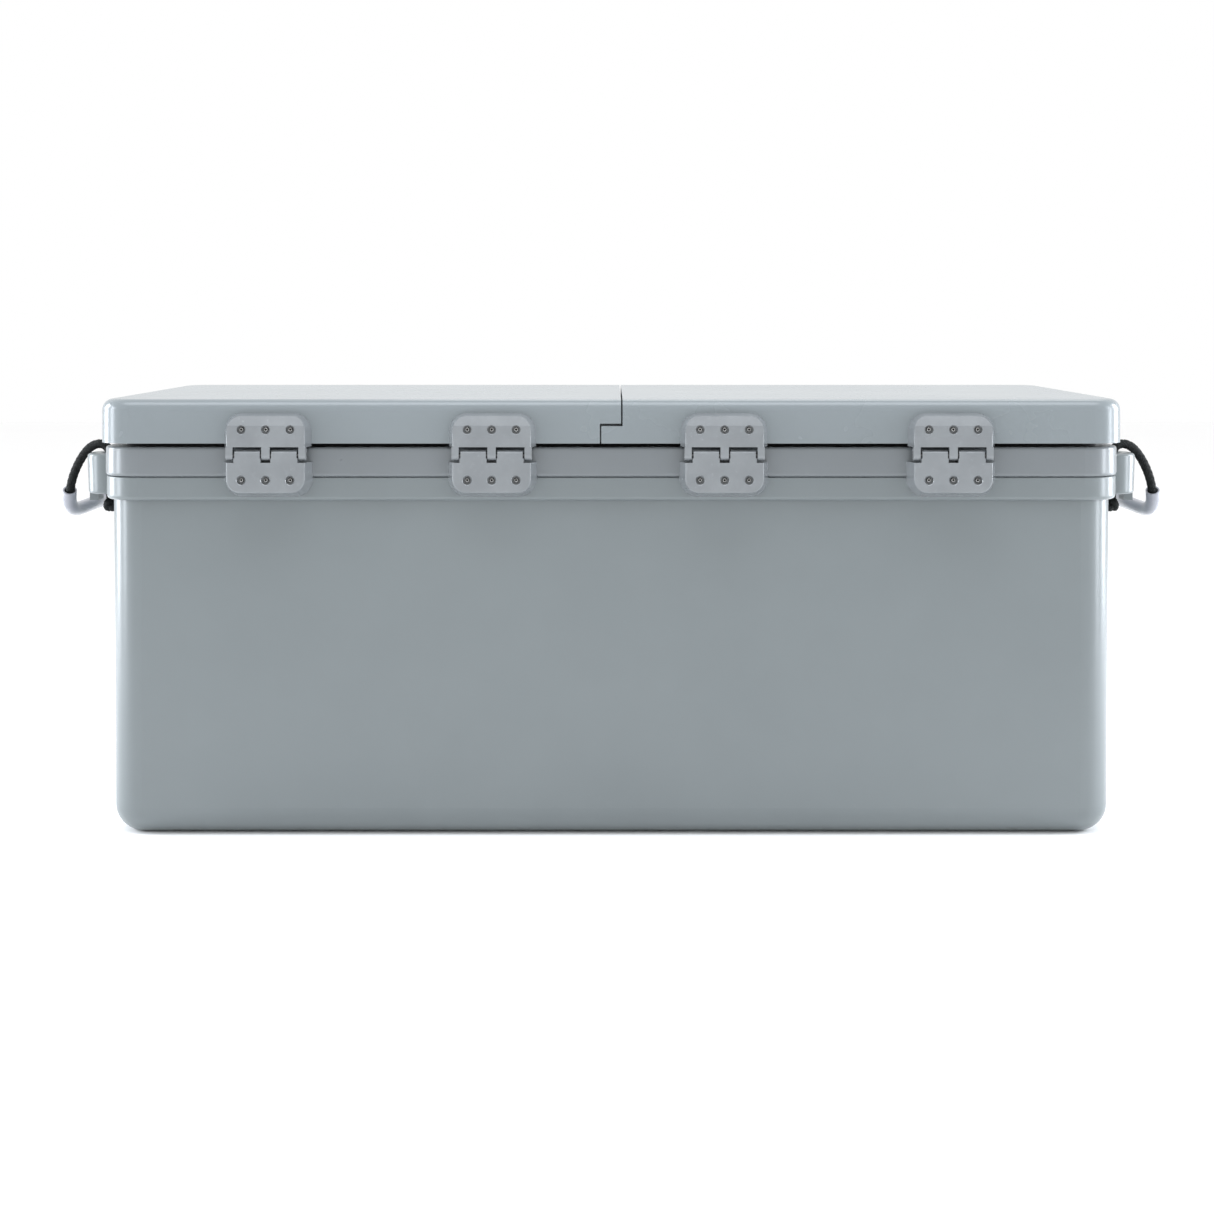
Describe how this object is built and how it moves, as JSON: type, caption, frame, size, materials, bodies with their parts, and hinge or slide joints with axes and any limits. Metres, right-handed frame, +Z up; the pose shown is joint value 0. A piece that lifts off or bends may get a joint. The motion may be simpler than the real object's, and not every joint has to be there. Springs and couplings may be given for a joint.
{
  "type": "ice box",
  "caption": "Long insulated ice box with two separately hinged lids, rope carrying handles, front latches and a drain plug.",
  "frame": {"origin": "centre of the tub's flat underside, on the floor", "axes": "+X along the box's length, +Y to the hinged rear side, +Z up"},
  "size_m": [1.2302, 0.545, 0.4633],
  "materials": {
    "gelcoat": "gloss",
    "liner": "gloss",
    "foam": "matte",
    "hinge_plastic": "satin",
    "steel": "satin",
    "backing": "satin",
    "gasket": "matte",
    "rope": "matte",
    "grip_plastic": "satin",
    "drain_plastic": "satin"
  },
  "bodies": {
    "tub": {"tub_shell": "gelcoat", "tub_liner": "gelcoat", "tub_foam": "foam", "tub_backing_strips": "backing", "rim_gasket": "gasket", "hinge_pins": "steel", "tub_hinge_screws": "steel", "latch_catches": "hinge_plastic", "catch_screws": "steel", "drain_fitting": "drain_plastic", "left_outer_hinge_tub_leaf": "hinge_plastic", "left_inner_hinge_tub_leaf": "hinge_plastic", "right_inner_hinge_tub_leaf": "hinge_plastic", "right_outer_hinge_tub_leaf": "hinge_plastic", "left_front_handle_lug": "gelcoat", "left_rear_handle_lug": "gelcoat", "right_front_handle_lug": "gelcoat", "right_rear_handle_lug": "gelcoat", "left_rope_knots": "rope", "right_rope_knots": "rope"},
    "left_lid": {"left_lid_shell": "gelcoat", "left_lid_panel": "liner", "left_lid_foam": "foam", "left_lid_backing": "backing", "left_lid_hinge_screws": "steel", "left_latch_bracket": "hinge_plastic", "left_latch_screws": "steel", "left_latch_pin": "steel", "left_outer_hinge_lid_leaf": "hinge_plastic", "left_inner_hinge_lid_leaf": "hinge_plastic", "left_lid_seam_seal": "gasket"},
    "left_latch": {"left_latch_flap": "hinge_plastic"},
    "left_handle": {"left_handle_rope": "rope", "left_handle_grip": "grip_plastic"},
    "right_lid": {"right_lid_shell": "gelcoat", "right_lid_panel": "liner", "right_lid_foam": "foam", "right_lid_backing": "backing", "right_lid_hinge_screws": "steel", "right_latch_bracket": "hinge_plastic", "right_latch_screws": "steel", "right_latch_pin": "steel", "right_inner_hinge_lid_leaf": "hinge_plastic", "right_outer_hinge_lid_leaf": "hinge_plastic"},
    "right_latch": {"right_latch_flap": "hinge_plastic"},
    "right_handle": {"right_handle_rope": "rope", "right_handle_grip": "grip_plastic"},
    "drain_ring": {"drain_seal": "gasket"},
    "drain_plug": {"drain_plug": "drain_plastic"}
  },
  "joints": [
    {"name": "left_lid_hinge", "type": "hinge", "parent": "tub", "child": "left_lid", "pos_m": [-0.24, 0.2649, 0.4053], "axis": [-1, 0, 0], "range_deg": [0, 95]},
    {"name": "left_latch_hinge", "type": "hinge", "parent": "left_lid", "child": "left_latch", "pos_m": [-0.27, -0.2615, 0.4373], "axis": [-1, 0, 0], "range_deg": [0, 110]},
    {"name": "left_handle_swing", "type": "hinge", "parent": "tub", "child": "left_handle", "pos_m": [-0.552, 0, 0.3983], "axis": [0, 1, 0], "range_deg": [0, 45]},
    {"name": "right_lid_hinge", "type": "hinge", "parent": "tub", "child": "right_lid", "pos_m": [0.24, 0.2649, 0.4053], "axis": [-1, 0, 0], "range_deg": [0, 95]},
    {"name": "right_latch_hinge", "type": "hinge", "parent": "right_lid", "child": "right_latch", "pos_m": [0.27, -0.2615, 0.4373], "axis": [-1, 0, 0], "range_deg": [0, 110]},
    {"name": "right_handle_swing", "type": "hinge", "parent": "tub", "child": "right_handle", "pos_m": [0.552, 0, 0.3983], "axis": [0, -1, 0], "range_deg": [0, 45]},
    {"name": "drain_ring_slide", "type": "slide", "parent": "tub", "child": "drain_ring", "axis": [0, -1, 0], "range_m": [0, 0.012]},
    {"name": "drain_plug_turn", "type": "hinge", "parent": "drain_ring", "child": "drain_plug", "pos_m": [-0.44, -0.25, 0.075], "axis": [0, -1, 0], "range_deg": [0, 1440]}
  ],
  "couplings": [
    {"joint": "drain_ring_slide", "follows": "drain_plug_turn", "m_per_rad": 0.00047746}
  ]
}
